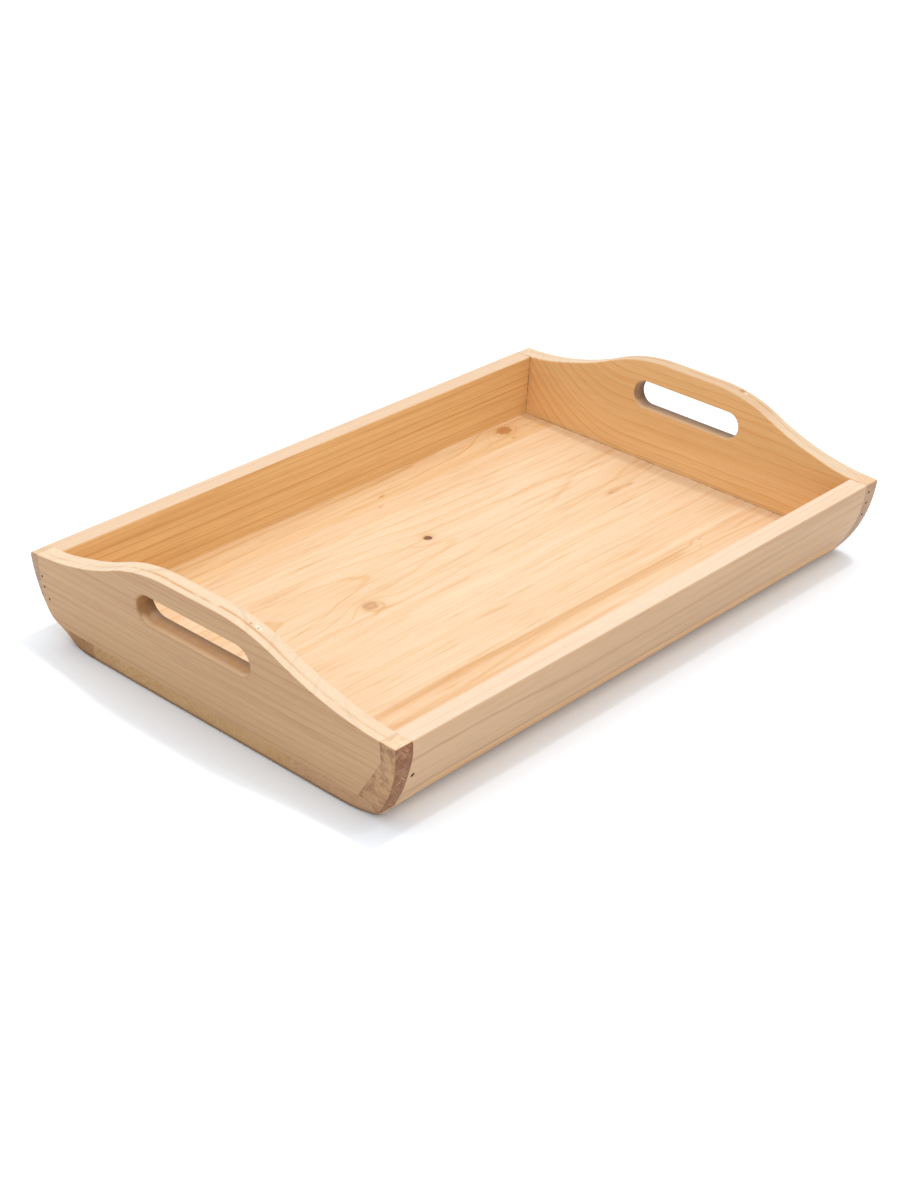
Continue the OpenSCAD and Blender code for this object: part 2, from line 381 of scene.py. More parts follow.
def drill(obj, radius, *groups):
    """Sinks the brads' holes into a board, where the CAD's brads are. A group is a node and the
    way that its brads point."""
    cutter = bmesh.new()
    for node, axis in groups:
        axis = Vector(axis).normalized()
        side = axis.orthogonal().normalized()
        up = axis.cross(side)
        for points in brads_in(node, side, up):
            along = [p.dot(axis) for p in points]
            top = min(along)
            head = [p for p, t in zip(points, along) if t < top + HEAD_T * 0.5]
            u, w = [p.dot(side) for p in head], [p.dot(up) for p in head]
            mid = side * (min(u) + max(u)) / 2 + up * (min(w) + max(w)) / 2
            near, far = top - 12, top + HEAD_T + 0.02
            turn = axis.to_track_quat("Z", "Y").to_matrix().to_4x4()
            place = Matrix.Translation((mid + axis * (near + far) / 2) / MM) @ turn
            bmesh.ops.create_cone(cutter, cap_ends=True, segments=24,
                                  radius1=radius / MM, radius2=radius / MM,
                                  depth=(far - near) / MM, matrix=place)
    mesh = bpy.data.meshes.new("cutter")
    cutter.to_mesh(mesh)
    cutter.free()
    mesh.materials.append(hole_wood)
    tool = add_object("cutter", mesh)
    cut = obj.modifiers.new("holes", "BOOLEAN")
    cut.operation, cut.solver, cut.object = "DIFFERENCE", "EXACT", tool
    cut.material_mode = "TRANSFER"
    made = bpy.data.meshes.new_from_object(
        obj.evaluated_get(bpy.context.evaluated_depsgraph_get()))
    obj.modifiers.clear()
    obj.data = made
    made.name = obj.name
    bpy.data.objects.remove(tool)


def with_x(points, x):
    """An outline in y and z, placed at x."""
    return np.stack([np.asarray(x, float) * np.ones(len(points)), points[:, 0], points[:, 1]], 1)


def squareness(z):
    """How far a top edge is cut square to the leaning end: not at the rim, fully on the crest."""
    return float(ease((z - RIM_H) / SQUARE_H))


def base_board(name, y0, y1, arris0, arris1, cuts):
    """Outline in x and z, between two joints or out to a curved side."""
    low = end_x(0)
    seat, step = end_x(SEAT_Z), end_x(SEAT_Z, END_T) - FLOOR_GAP
    top = end_x(BASE_T, END_T) - FLOOR_GAP
    corners = [(-low, 0), (low, 0), (seat, SEAT_Z), (step, SEAT_Z), (top, BASE_T),
               (-top, BASE_T), (-step, SEAT_Z), (-seat, SEAT_Z)]
    edges = [[corners[k], corners[(k + 1) % 8]] for k in range(8)]
    radius = [ARRIS, ARRIS, 0, 0, 0, 0, 0, 0]
    kinds = ["foot", "end", "seam", "seam", "seam", "seam", "seam", "end"]
    parts = [([(*p, 0) for p in e], r, arris0[k], arris1[k])
             for e, r, k in zip(edges, radius, kinds)]

    def face(y):
        return lambda p: np.stack([p[:, 0], y(p[:, 1]) + 0 * p[:, 0], p[:, 1]], 1)

    return board(name, [loop(parts)], face(y0), face(y1), cuts=cuts)


joined = {"foot": SEAM, "end": SEAM, "seam": SEAM}
outside = {"foot": FOOT_ARRIS, "end": POST_ARRIS, "seam": SEAM}
edges_y = [lambda z: side_y(-1, z), *[lambda z, j=j: j for j in JOINTS], lambda z: side_y(1, z)]
base_names = ["base_board_front", "base_board_centre", "base_board_wide", "base_board_back"]
pieces = {}
for i, name in enumerate(base_names):
    pieces[name] = base_board(name + "_wood", edges_y[i], edges_y[i + 1],
                              outside if i == 0 else joined, outside if i == 3 else joined,
                              cuts=16 if i in (0, 3) else 3)


def side_wall(name, side):
    """Outline across the tray, between the end walls' inner faces."""
    foot = side * (HALF_W - SIDE_T - (RIM_H - BASE_T) * math.tan(SIDE_LEAN))
    heights = np.linspace(BASE_T, RIM_H, 15)
    outer = [(float(side_y(side, z)), z, 0) for z in heights]
    lines = [outer, [(side * HALF_W, RIM_H, 0), (side * (HALF_W - SIDE_T), RIM_H, 0)],
             [(side * (HALF_W - SIDE_T), RIM_H, 0), (foot, BASE_T, 0)],
             [(foot, BASE_T, 0), (float(side_y(side, BASE_T)), BASE_T, 0)]]
    radii = [0, SIDE_TOP, ARRIS, 0]
    if side < 0:
        lines = [line[::-1] for line in lines[::-1]]
        radii = [0, 0, ARRIS, SIDE_TOP]
    return board(name, [loop([(line, r, SEAM, SEAM) for line, r in zip(lines, radii)])],
                 lambda p: with_x(p, WALL_GAP - end_x(p[:, 1], END_T)),
                 lambda p: with_x(p, end_x(p[:, 1], END_T) - WALL_GAP), cuts=60)


pieces["front_side_wall"] = side_wall("front_side_wall_wood", -1)
pieces["back_side_wall"] = side_wall("back_side_wall_wood", 1)


def end_faces(hand):
    """The outer and inner face of an end, for an outline as seen from the end. A point's third
    number is how far its place on the inner face follows the lean: 1 at edges cut square, 0 at
    joints and at the foot."""
    def face(depth):
        def place(p):
            z = p[:, 1] + p[:, 2] * depth * LEAN_S
            x = end_x(z, depth)
            return np.stack([hand * x, p[:, 0], z], 1)
        return place
    return face(0.0), face(END_T)


def post_foot_z():
    """Height at which a back post's inner side meets the tray's curved side."""
    r = bend_radius(1)
    return RIM_H - math.sqrt(r ** 2 - (r - BACK_POST_W) ** 2)


def end_wall(name, side_name, hand):
    """A leaning end with its crest and hand slot, between the posts."""
    shift = CREST_SHIFT[side_name]
    slot_y, slot_z, slot_l, slot_h = SLOTS[side_name]
    y0, y1 = POST_Y["front"], POST_Y["back"]
    inner_y = HALF_W - SIDE_T
    rim = [[(y, float(crest_z(y, shift))) for y in np.linspace(*ends)]
           for ends in ((y1, inner_y, 6), (inner_y, -inner_y, 116), (-inner_y, y0, 3))]
    rim = [[(y, z, squareness(z)) for y, z in part] for part in rim]
    crest = [rim[0][0], rim[2][-1]]
    foot = spread([(y0 + POST_FLARE, SEAT_Z, 0), (float(side_y(1, SEAT_Z)), SEAT_Z, 0)], 2.0)
    parts = [(foot, 0, SEAM, SEAM)]
    edge = [(float(side_y(1, z)), z, 0) for z in np.linspace(SEAT_Z, RIM_H, 16)]
    low = [p for p in edge if p[0] < y1 - 1e-6]
    cross = post_foot_z()
    parts.append((low + [(y1, cross, 0)], 0, POST_ARRIS, SEAM))
    parts.append(([(y1, cross, 0), (y1, crest[0][1] - TOP_BAND, 0), crest[0]], 0, SEAM, SEAM))
    parts += [(rim[0], 0, ARRIS, SEAM), (rim[1], 0, ARRIS, ARRIS), (rim[2], 0, ARRIS, SEAM)]
    parts.append(([crest[-1], (y0, crest[-1][1] - TOP_BAND, 0), (y0, POST_KINK_Z, 0),
                   (y0 + POST_FLARE, SEAT_Z, 0)], 0, SEAM, SEAM))
    outer = loop(parts)
    ring = []
    for middle in (-1, 1):
        for turn in np.linspace(0, math.pi, 22):
            u = slot_y + middle * ((slot_l - slot_h) / 2 + slot_h / 2 * math.sin(turn))
            ring.append((u, slot_z - middle * slot_h / 2 * math.cos(turn) * LEAN_C, 1))
    hole = loop([(ring[::-1] + [ring[-1]], 0, *SLOT_ARRIS)])
    f0, f1 = end_faces(hand)
    return board(name, [outer, hole], f0, f1, cuts=2, grid=9.0)


def front_post(name, side_name, hand):
    """A corner piece that widens below a kink."""
    shift, y0 = CREST_SHIFT[side_name], POST_Y["front"]
    top = [(y, float(crest_z(y, shift)), 0) for y in (y0, -HALF_W)]
    side = [(float(side_y(-1, z)), z, 0) for z in np.linspace(RIM_H - 3, SEAT_Z, 20)]
    parts = [(top, 0, POST_ARRIS, SEAM),
             ([top[1], *side], TOP_CORNER["front"], POST_ARRIS, SEAM),
             (spread([side[-1], (y0 + POST_FLARE, SEAT_Z, 0)], 2.0), 0, SEAM, SEAM),
             ([(y0 + POST_FLARE, SEAT_Z, 0), (y0, POST_KINK_Z, 0),
               (y0, top[0][1] - TOP_BAND, 0), top[0]], 0, SEAM, SEAM)]
    f0, f1 = end_faces(hand)
    return board(name, [loop(parts)], f0, f1, cuts=2, grid=4.0)


def back_post(name, side_name, hand):
    """A corner piece that the curved side cuts off below."""
    shift, y1 = CREST_SHIFT[side_name], POST_Y["back"]
    cross = post_foot_z()
    top = [(y, float(crest_z(y, shift)), 0) for y in (HALF_W, y1)]
    side = [(float(side_y(1, z)), z, 0) for z in np.linspace(cross, RIM_H - 3, 12)]
    side[0] = (y1, cross, 0)
    parts = [(top, TOP_CORNER["back"], POST_ARRIS, SEAM),
             ([top[1], (y1, top[1][1] - TOP_BAND, 0), (y1, cross, 0)], 0, SEAM, SEAM),
             ([*side, top[0]], 0, POST_ARRIS, SEAM)]
    f0, f1 = end_faces(hand)
    return board(name, [loop(parts)], f0, f1, cuts=2, grid=4.0)


for side_name, hand in (("left", -1), ("right", 1)):
    for node, make in ((side_name + "_end_wall", end_wall),
                       ("front_" + side_name + "_post", front_post),
                       ("back_" + side_name + "_post", back_post)):
        pieces[node] = make(node + "_wood", side_name, hand)


# ---------------------------------------------------------------- procedural wood
class Sock:
    """A node's output. Arithmetic on it makes the matching shader nodes."""

    def __init__(self, out):
        self.out = out

    def op(self, name, *rest):
        n = new_node("ShaderNodeMath", self)
        n.operation = name
        for socket, value in zip(n.inputs, (self, *rest)):
            feed(socket, value)
        return Sock(n.outputs[0])

    def __add__(self, v):
        return self.op("ADD", v)

    def __sub__(self, v):
        return self.op("SUBTRACT", v)

    def __mul__(self, v):
        return self.op("MULTIPLY", v)

    def __truediv__(self, v):
        return self.op("DIVIDE", v)

    def __rsub__(self, v):
        return self.op("MULTIPLY_ADD", -1.0, v)

    __radd__, __rmul__ = __add__, __mul__

    def ramp(self, a, b, low=0.0, high=1.0):
        """A soft step from low to high, as the value goes from a to b."""
        n = new_node("ShaderNodeMapRange", self)
        n.interpolation_type = "SMOOTHSTEP"
        for key, value in (("Value", self), ("From Min", a), ("From Max", b),
                           ("To Min", low), ("To Max", high)):
            feed(n.inputs[key], value)
        return Sock(n.outputs["Result"])

    def bell(self):
        """1 where the value is 0, falling to 0 on both sides."""
        return self.op("POWER", 2.0).op("MULTIPLY", -1.0).op("EXPONENT")


def new_node(kind, *values):
    """A node in the tree that the values come from."""
    return next(v for v in values if isinstance(v, Sock)).out.id_data.nodes.new(kind)


def feed(socket, value):
    """Links or sets an input."""
    if isinstance(value, Sock):
        socket.id_data.links.new(value.out, socket)
    elif isinstance(value, (int, float)):
        socket.default_value = value
    else:
        socket.default_value = (*value, 1.0)[:len(socket.default_value)]


def feed_all(node, values):
    """Links or sets a node's inputs by name."""
    for key, value in values.items():
        feed(node.inputs[key], value)


def point(x, y, z):
    """A vector, or a colour, from three values."""
    n = new_node("ShaderNodeCombineXYZ", x, y, z)
    for socket, value in zip(n.inputs, (x, y, z)):
        feed(socket, value)
    return Sock(n.outputs[0])


def parts_of(tree, source, output):
    """The x, y and z of a new source node's output."""
    split = tree.nodes.new("ShaderNodeSeparateXYZ")
    feed(split.inputs[0], Sock(tree.nodes.new(source).outputs[output]))
    return [Sock(o) for o in split.outputs]


def noise(x, y, z, detail=2.0, rough=0.5):
    """Smooth noise from 0 to 1, about one feature per unit."""
    n = new_node("ShaderNodeTexNoise", x, y, z)
    feed_all(n, {"Scale": 1.0, "Detail": detail, "Roughness": rough, "Vector": point(x, y, z)})
    return Sock(n.outputs[0])


def mixed(share, a, b, how="MIX"):
    """Colour a with a share of colour b."""
    n = new_node("ShaderNodeMix", share, a, b)
    n.data_type, n.blend_type = "RGBA", how
    for k, value in ((0, share), (6, a), (7, b)):
        feed(n.inputs[k], value)
    return Sock(n.outputs[2])


# Oil and age take this share of each colour
TONE = (0.96, 0.945, 0.935)
# Painted highlight on a hand slot's lower lip, painted shade at its far side, and dark wood on a
# crest
LIP_HIGHLIGHT, SLOT_SHADE, CROWN = (0.8, 0.56, 0.33), (0.12, 0.065, 0.035), (0.6, 0.375, 0.19)
# Blond fibre, broken end grain, the line along a crest, painted shade at the foot, and dirt in a
# joint
BLOND, BROKEN, CREST_LINE = (0.84, 0.68, 0.5), (0.49, 0.27, 0.13), (0.55, 0.27, 0.09)
FOOT_SHADE, JOINT_DIRT = (0.19, 0.09, 0.045), (0.13, 0.06, 0.03)


class Pine:
    """Pine as a solid: growth rings about a pith, fibre, knots that bend the rings, end grain.
    Axis a runs along the grain, b across it in the board, and c through the board."""

    # Grain axis, which end the board is at, where the pith is in b and c, the rings' spacing,
    # how fast they part along the board, and what separates this board's noise from others'
    grain, hand, pith, spacing, slope, seed = "x", 0, (0, -60), 4.0, 0.0, 0.0
    # Colours of young and late wood and of resin, and the tint of end grain
    early, late, warm = (0.76, 0.56, 0.37), (0.66, 0.41, 0.2), (0.52, 0.26, 0.1)
    end_tint = (0.8, 0.74, 0.66)
    # How strong the rings are, how sharp, how wavy; how strong the fibre lines and pale fibre
    contrast, crisp, wave, stria, blond, rough = 0.8, 0.5, 4.0, 0.3, 0.0, 0.5
    # Curly figure, end-grain strokes, painted light that brightens the foot and darkens the top, dark
    # crest, painted shade at the foot
    figure, chevron, foot, crown, scuff = 0.0, 0.0, 0.0, 0.0, 0.0
    # Knots: a, b, half length, half height, bulge, colour, halo, rings, softness
    # Marks: a, b, half length, half height, tilt, colour, share
    # Streaks: b, half width, first and last a, share, bend
    knots, marks, streaks = (), (), ()
    # Ends: first and last b, tint. Facing colours: the direction that a face looks, young and late
    # wood; painted bounce light on faces inside the tray, painted shade on the front board's side,
    # and the real dark end grain on a post's front
    # Grime: lean, where it starts, where it is full, share. Chips: x, y, z, radius, colour
    ends, inner, grime, chips = (), (), (), ()
    # Painted highlight on the top edge, as a paler colour; rings that climb: from which a, and how
    # much; the c of a line along the crest; the slot: its end's side, its near and far c, and tint of
    # scorched wood and painted shade
    pale_top, rise, top_line, bore = None, None, None, None

    def __init__(self, name, **look):
        vars(self).update(look)
        self.mat, tree, self.shader = new_material(name)
        self.x, self.y, self.z = (v * MM for v in parts_of(tree, "ShaderNodeTexCoord", "Object"))
        self.nx, self.ny, self.nz = parts_of(tree, "ShaderNodeNewGeometry", "Normal")
        # Faces that look up near the top, where the painted top highlight and the crest's own dark
        # wood go
        self.up = self.nz.ramp(0.5, 0.95) * self.z.ramp(50, 54)
        self.set_axes()
        self.grow_rings()
        self.colour_rings()
        self.lay_fibre()
        self.lay_streaks()
        if self.figure:
            self.lay_figure()
        if self.chevron:
            self.lay_strokes()
        if self.top_line is not None:
            self.lay_crest_line()
        if self.bore:
            self.lay_slot(*self.bore)
        self.lay_foot_shade_and_dirt()
        self.lay_shade()
        self.lay_end_grain()
        self.lay_marks()
        self.lay_knots()
        self.finish()

    def lay(self, share, colour, how="MIX"):
        """Covers a share of the wood with a colour."""
        self.colour = mixed(share, self.colour, colour, how)

    def set_axes(self):
        if self.grain == "x":
            self.a, self.b, self.c, along = self.x, self.y, self.z, self.nx
        else:
            self.a, along = self.y, self.ny
            self.b = self.z * LEAN_C + self.x * (self.hand * LEAN_S)
            self.c = self.z * LEAN_S - self.x * (self.hand * LEAN_C)
        self.end = along.op("ABSOLUTE").ramp(0.55, 0.85)
        self.aa = self.a + self.seed * 97.0
        self.level = self.b
        if self.rise:
            start, rate = self.rise
            self.level = self.b - (self.a - start).op("MAXIMUM", 0.0).op("POWER", 2.0) * rate

    def grow_rings(self):
        """Distance to the pith, with slow waves, and bulges round the knots."""
        a, aa, b, c, seed, wave = self.a, self.aa, self.b, self.c, self.seed, self.wave
        wave_b = (noise(aa / 210, b / 60, c / 60 + seed, 2.0) - 0.5) * (wave * 2.2)
        wave_c = (noise(aa / 260 + 9, b / 60, c / 60, 1.0) - 0.5) * (wave * 2.2)
        fine = (noise(aa / 38, b / 9, c / 9 + seed, 2.0) - 0.5) * (wave * 0.3)
        db, dc = self.level + wave_b - self.pith[0], c + wave_c - self.pith[1]
        ring_r = (db * db + dc * dc).op("SQRT") + fine + a * self.slope
        self.near = []
        for ka, kb, ra, rb, bulge, *look in self.knots:
            wob = (noise(a / 4 + ka, b / 2.5 + kb, seed, 2.0) - 0.5) * (0.3 + look[-1] * 2.6)
            q = (((a - ka) / ra).op("POWER", 2.0) + ((b - kb) / rb).op("POWER", 2.0)).op("SQRT")
            self.near.append((q + wob * q.ramp(3.0, 0.5), look))
            wide = (((a - ka) / (ra * 2.6)).op("POWER", 2.0)
                    + ((b - kb) / (rb * 1.6)).op("POWER", 2.0))
            ring_r = ring_r + (wide + 1.0).op("POWER", -1.0) * (rb * bulge)
        wander = noise(ring_r / (self.spacing * 5), seed, 0.3, 1.0) - 0.5
        self.late_share = self.ring_share(ring_r / self.spacing + wander * 2.4)

    def ring_share(self, phase):
        """Late wood in each ring: it thickens slowly, ends at once, and differs by the year."""
        part = phase.op("FRACT")
        each = new_node("ShaderNodeTexWhiteNoise", phase)
        each.noise_dimensions = "1D"
        feed(each.inputs["W"], phase.op("FLOOR") + self.seed)
        strength = Sock(each.outputs[0]) * 0.6 + 0.4
        patch = noise(self.aa / 70, self.b / 10, self.c / 10 + 3, 1.0).ramp(0.25, 0.75, 0.6, 1.0)
        body = (part.ramp(0.2, 0.85) * (0.55 - self.crisp * 0.5)
                + part.ramp(0.8, 0.9) * (0.45 + self.crisp * 0.5))
        share = (body - part.ramp(0.94, 1.0)).op("MAXIMUM", 0.0) * strength * patch
        for q, _ in self.near:
            share = share * ((q * q * -0.12).op("EXPONENT") * 1.3 + 1.0)
        return (share * (self.end * 0.4 + self.contrast)).op("MINIMUM", 1.0)

    def colour_rings(self):
        base, ripe = self.early, self.late
        # Painted light and shade by the way a face looks; only the dark front of a post is its own
        # end grain
        for (toward_x, toward_y), young, old in self.inner:
            share = (self.nx * toward_x + self.ny * toward_y).ramp(0.3, 0.8)
            base = mixed(share, base, young)
            ripe = mixed(share, ripe, old)
        # Painted highlight: paler wood on faces that look up near the top
        if self.pale_top:
            base = mixed(self.up, base, self.pale_top)
            ripe = mixed(self.up * 0.75, ripe, self.pale_top)
        if self.crown:
            base = mixed(self.up * self.z.ramp(70, 80) * self.crown, base, CROWN)
        self.colour, self.ripe = mixed(self.late_share, base, ripe), ripe

    def lay_fibre(self):
        """Thin straight lines, broader streaks and slow changes of tone."""
        aa, b, c, level, seed = self.aa, self.b, self.c, self.level, self.seed
        self.fibre = noise(aa / 16, b / 0.55, c / 0.55, 2.0, 0.6)
        hair = noise(aa / 130, level / 1.05, c / 1.05 + seed, 1.0).ramp(0.5, 0.64)
        some = noise(aa / 45, b / 7, c / 7 + 7, 1.0).ramp(0.3, 0.7, 0.25, 1.0)
        self.lay(hair * some * (1.0 - self.end) * self.stria, self.ripe)
        if self.blond:
            pale = noise(aa / 95, level / 6.5, c / 6.5 + seed * 3, 3.0).ramp(0.48, 0.75)
            self.lay(pale * self.blond, BLOND)
        streak = noise(aa / 150, level / 4.2, c / 4.2 + seed, 2.0, 0.55)
        self.lay(streak.ramp(0.45, 0.85, 0.0, 0.5), self.ripe)
        broad = noise(aa / 260, level / 34, c / 34 + seed * 2, 1.0)
        self.lay(broad.ramp(0.35, 0.8, 0.0, 0.28), self.ripe)
        if self.blond:
            flame = noise(aa / 55, level / 4.0, c / 4.0 + seed * 5, 3.0).ramp(0.54, 0.76)
            self.lay(flame * 0.42, self.warm)

    def lay_streaks(self):
        for s0, width, from_a, to_a, share, bend in self.streaks:
            mid = self.b - s0 - (noise(self.aa / 60, self.seed, 1.0, 1.0) - 0.5) * bend
            reach = self.a.ramp(from_a - 12, from_a + 30) * self.a.ramp(to_a + 6, to_a - 14)
            grainy = noise(self.aa / 50, self.b / 1.1, self.c, 2.0).ramp(0.25, 0.7, 0.5, 1.0)
            self.lay((mid / width).bell() * reach * grainy * share, self.warm)

    def lay_figure(self):
        """Curly patches and slanting lines, which the faces inside the tray don't show."""
        a, b, c = self.a, self.b, self.c
        shown = (1.0 - self.up * 0.65) * (self.nx * -self.hand).ramp(0.8, 0.3) * self.figure
        curl = noise(a / 8 + self.seed, b / 9, c / 9, 3.0, 0.6).ramp(0.42, 0.6)
        self.lay(curl * shown, self.late)
        lines = noise((a + b) / 7.0, (a - b * 0.8) / 1.1, c / 7, 2.0, 0.6).ramp(0.45, 0.7)
        self.lay(lines * shown * 0.5, self.warm)

    def lay_strokes(self):
        """Short slanting strokes in the end grain."""
        a, b, c = self.a, self.b, self.c
        fold = b + c.op("PINGPONG", 6.0) * 1.2
        strokes = noise(fold / 0.8, c / 6.0, a / 6.0, 1.0).ramp(0.48, 0.66)
        patchy = noise(a / 9, b / 9, c / 9, 1.0).ramp(0.3, 0.65, 0.2, 1.0)
        self.lay(strokes * patchy * self.end * self.chevron, BROKEN)

    def lay_crest_line(self):
        """A broken line of late wood along the top edge, clearest on the crest."""
        wander = noise(self.a / 40, self.seed, 0.0, 2.0) * 2.4
        line = ((self.c - self.top_line + wander) / 0.8).bell()
        broken = noise(self.a / 14, self.seed + 4, 0.0, 2.0).ramp(0.3, 0.5)
        self.lay(self.up * line * (broken * self.z.ramp(66, 80, 0.35, 0.9)), CREST_LINE)

    def lay_slot(self, side, near_c, far_c, tint):
        """Scorched wood and painted shade in the hand slot, darkest at the far side, with a painted
        highlight on the lip that looks up.
        """
        slot_y, _, slot_l, _ = SLOTS[side]
        wall = self.nx.op("ABSOLUTE").ramp(0.85, 0.5)
        wall = wall * self.z.ramp(72.5, 70.5) * self.z.ramp(SEAT_Z + 4, SEAT_Z + 8)
        wall = wall * (self.y - slot_y).op("ABSOLUTE").ramp(slot_l / 2 + 3, slot_l / 2 + 2)
        scorch_patches_and_shade = noise(self.a / 6, self.x / 5, self.z / 3, 2.0).ramp(0.3, 0.65, 0.45, 1.0)
        depth = (self.c - near_c) / (far_c - near_c)
        # Scorched wood, and painted shade that deepens into the slot
        self.lay(wall * scorch_patches_and_shade * depth.ramp(0.0, 0.5, 0.35, 1.0), tint)
        # Painted shade at the far side, and a painted highlight on the near lip that looks up
        self.lay(wall * depth.ramp(0.25, 1.0) * 0.8, SLOT_SHADE)
        self.lay(wall * self.nz.ramp(0.3, 0.8) * depth.ramp(0.35, 0.0) * 0.8, LIP_HIGHLIGHT)

    def lay_foot_shade_and_dirt(self):
        """Painted shade as a dark line along the foot, and dirt specks where a board meets an end
        wall.
        """
        # The dark line along the foot is painted shade
        if self.scuff:
            self.lay(self.z.ramp(3.4, 0.5) * self.nz.ramp(-0.97, -0.8) * self.scuff, FOOT_SHADE)
        for lean, start, full, share in self.grime:
            specks = noise(self.y / 5, self.z / 3, self.seed, 3.0, 0.65).ramp(0.3, 0.62)
            dirt = (self.x - self.z * lean).ramp(start, full) * specks
            self.lay(dirt * self.z.ramp(BASE_T - 1.5, BASE_T - 0.5) * share, JOINT_DIRT)

    def lay_shade(self):
        """Fibre, painted light that brightens the foot and darkens the top, and the tone of old wood.
        """
        shade = self.fibre.ramp(0.25, 0.75, 0.95, 1.04)
        # Painted light: lighter low on the wall and darker near the top
        if self.foot:
            shade = shade * self.z.ramp(12, 62, 1.0 + self.foot, 1.0 - self.foot)
        self.lay(1.0, point(*(shade * t for t in TONE)), "MULTIPLY")

    def lay_end_grain(self):
        """Pores and a tint of its own, and boards whose ends are darker than others."""
        grains = noise(self.a / 0.9, self.b / 0.55, self.c / 0.55, 1.0)
        self.pores = grains.ramp(0.35, 0.7, 0.88, 1.05)
        grey = point(self.pores, self.pores, self.pores)
        tint = mixed(1.0, self.end_tint, grey, "MULTIPLY")
        self.lay(self.end, mixed(1.0, self.colour, tint, "MULTIPLY"))
        for y0, y1, tint in self.ends:
            share = self.end * self.b.ramp(y0 - 1.2, y0 + 1.2) * self.b.ramp(y1 + 1.2, y1 - 1.2)
            self.lay(share, mixed(1.0, self.colour, tint, "MULTIPLY"))

    def lay_marks(self):
        for ka, kb, ra, rb, tilt, spot, share in self.marks:
            u, v = (self.a - ka) / ra, (self.b - kb - (self.a - ka) * tilt) / rb
            blur = noise(self.a / 3.0, self.b / 1.4, self.seed + ka, 2.0)
            cover = (u * u + v * v).op("MULTIPLY", -1.0).op("EXPONENT")
            self.lay(cover * blur.ramp(0.2, 0.65, 0.3, 1.0) * share, spot)
        for px, py, pz, radius, spot in self.chips:
            dx, dy, dz = self.x - px, self.y - py, self.z - pz
            gap = dx * dx + dy * dy + dz * dz
            self.lay((gap * (-1.0 / (radius * radius))).op("EXPONENT"), spot)

    def lay_knots(self):
        """A halo of resin, then the knot with its own rings and a dark rim."""
        for q, (core, halo, turns, soft) in self.near:
            self.lay((q * q * -0.3).op("EXPONENT") * halo, self.warm)
            heart = mixed((q * turns).op("FRACT").ramp(0.3, 0.9, 0.0, 0.6), core,
                          tuple(v * 0.72 for v in core))
            self.lay(q.ramp(1.0 + soft, 1.0 - soft), heart)
            self.lay(q.ramp(0.7, 1.0) * q.ramp(1.3, 1.0) * 0.5, tuple(v * 0.68 for v in core))

    def finish(self):
        """Colour, gloss and a fine bump."""
        height = self.fibre * 0.6 + self.late_share * 0.35 + self.end * self.pores
        bump = new_node("ShaderNodeBump", height)
        feed_all(bump, {"Strength": 0.35, "Distance": 0.0002, "Height": height})
        gloss = self.fibre * 0.12 + (self.rough - 0.06) - self.late_share * 0.06 + self.end * 0.1
        feed_all(self.shader, {"Base Color": self.colour, "Roughness": gloss,
                               "Specular IOR Level": 0.35, "Normal": Sock(bump.outputs[0])})


def wood(name, **look):
    """A pine material."""
    return Pine(name, **look).mat


# Spots of resin, thin streaks, scorched wood with painted shade for a slot, and pale spots
AMBER, TAN, SLOT_SCORCH_AND_SHADE = (0.5, 0.22, 0.065), (0.5, 0.26, 0.1), (0.48, 0.28, 0.125)
PALE_SPOT = (0.76, 0.71, 0.63)
# Ends of the floor and of the side walls, where dirt gathers in the joint
FLOOR_END = end_x(BASE_T, END_T) - FLOOR_GAP
WALL_END = end_x(0, END_T)
# An end wall's outer face and middle, on the grain's third axis
OUTER_C = (RIM_H * LEAN_T - HALF_L) * LEAN_C
MID_C = OUTER_C + END_T * 0.5
# Painted light: brighter young and old wood on the faces inside the tray, of the walls and of the
# posts, standing in for light bounced round inside it
INSIDE_BOUNCE, POST_INSIDE_BOUNCE = ((0.8, 0.52, 0.25), (0.62, 0.31, 0.1)), ((0.74, 0.46, 0.2), (0.56, 0.3, 0.11))


def floor_wood(name, **look):
    """A board of the tray's floor. It looks like this, except for what look says."""
    # The dark line along each board's foot is painted shade
    common = {"early": (0.75, 0.55, 0.365), "late": (0.645, 0.385, 0.17), "crisp": 0.75,
              "warm": (0.56, 0.29, 0.095), "stria": 0.34, "blond": 0.26, "scuff": 0.75,
              "end_tint": (0.73, 0.63, 0.46),
              "grime": [(0.0, FLOOR_END - 1.1, FLOOR_END - 0.2, 0.75)]}
    return wood(name, **{**common, **look})


def end_wood(name, hand, **look):
    """An end wall, with a line of late wood along its top edge."""
    return wood(name, grain="y", hand=hand, spacing=5.6, stria=0.12, top_line=MID_C, **look)


def post_wood(name, hand, **look):
    """A corner post. It looks like this, except for what look says."""
    common = {"late": (0.34, 0.19, 0.11), "contrast": 0.4, "figure": 0.5, "warm": (0.3, 0.15, 0.085)}
    return wood(name, grain="y", hand=hand, spacing=2.4, wave=3.0, end_tint=(1.0, 1.0, 1.0),
                **{**common, **look})


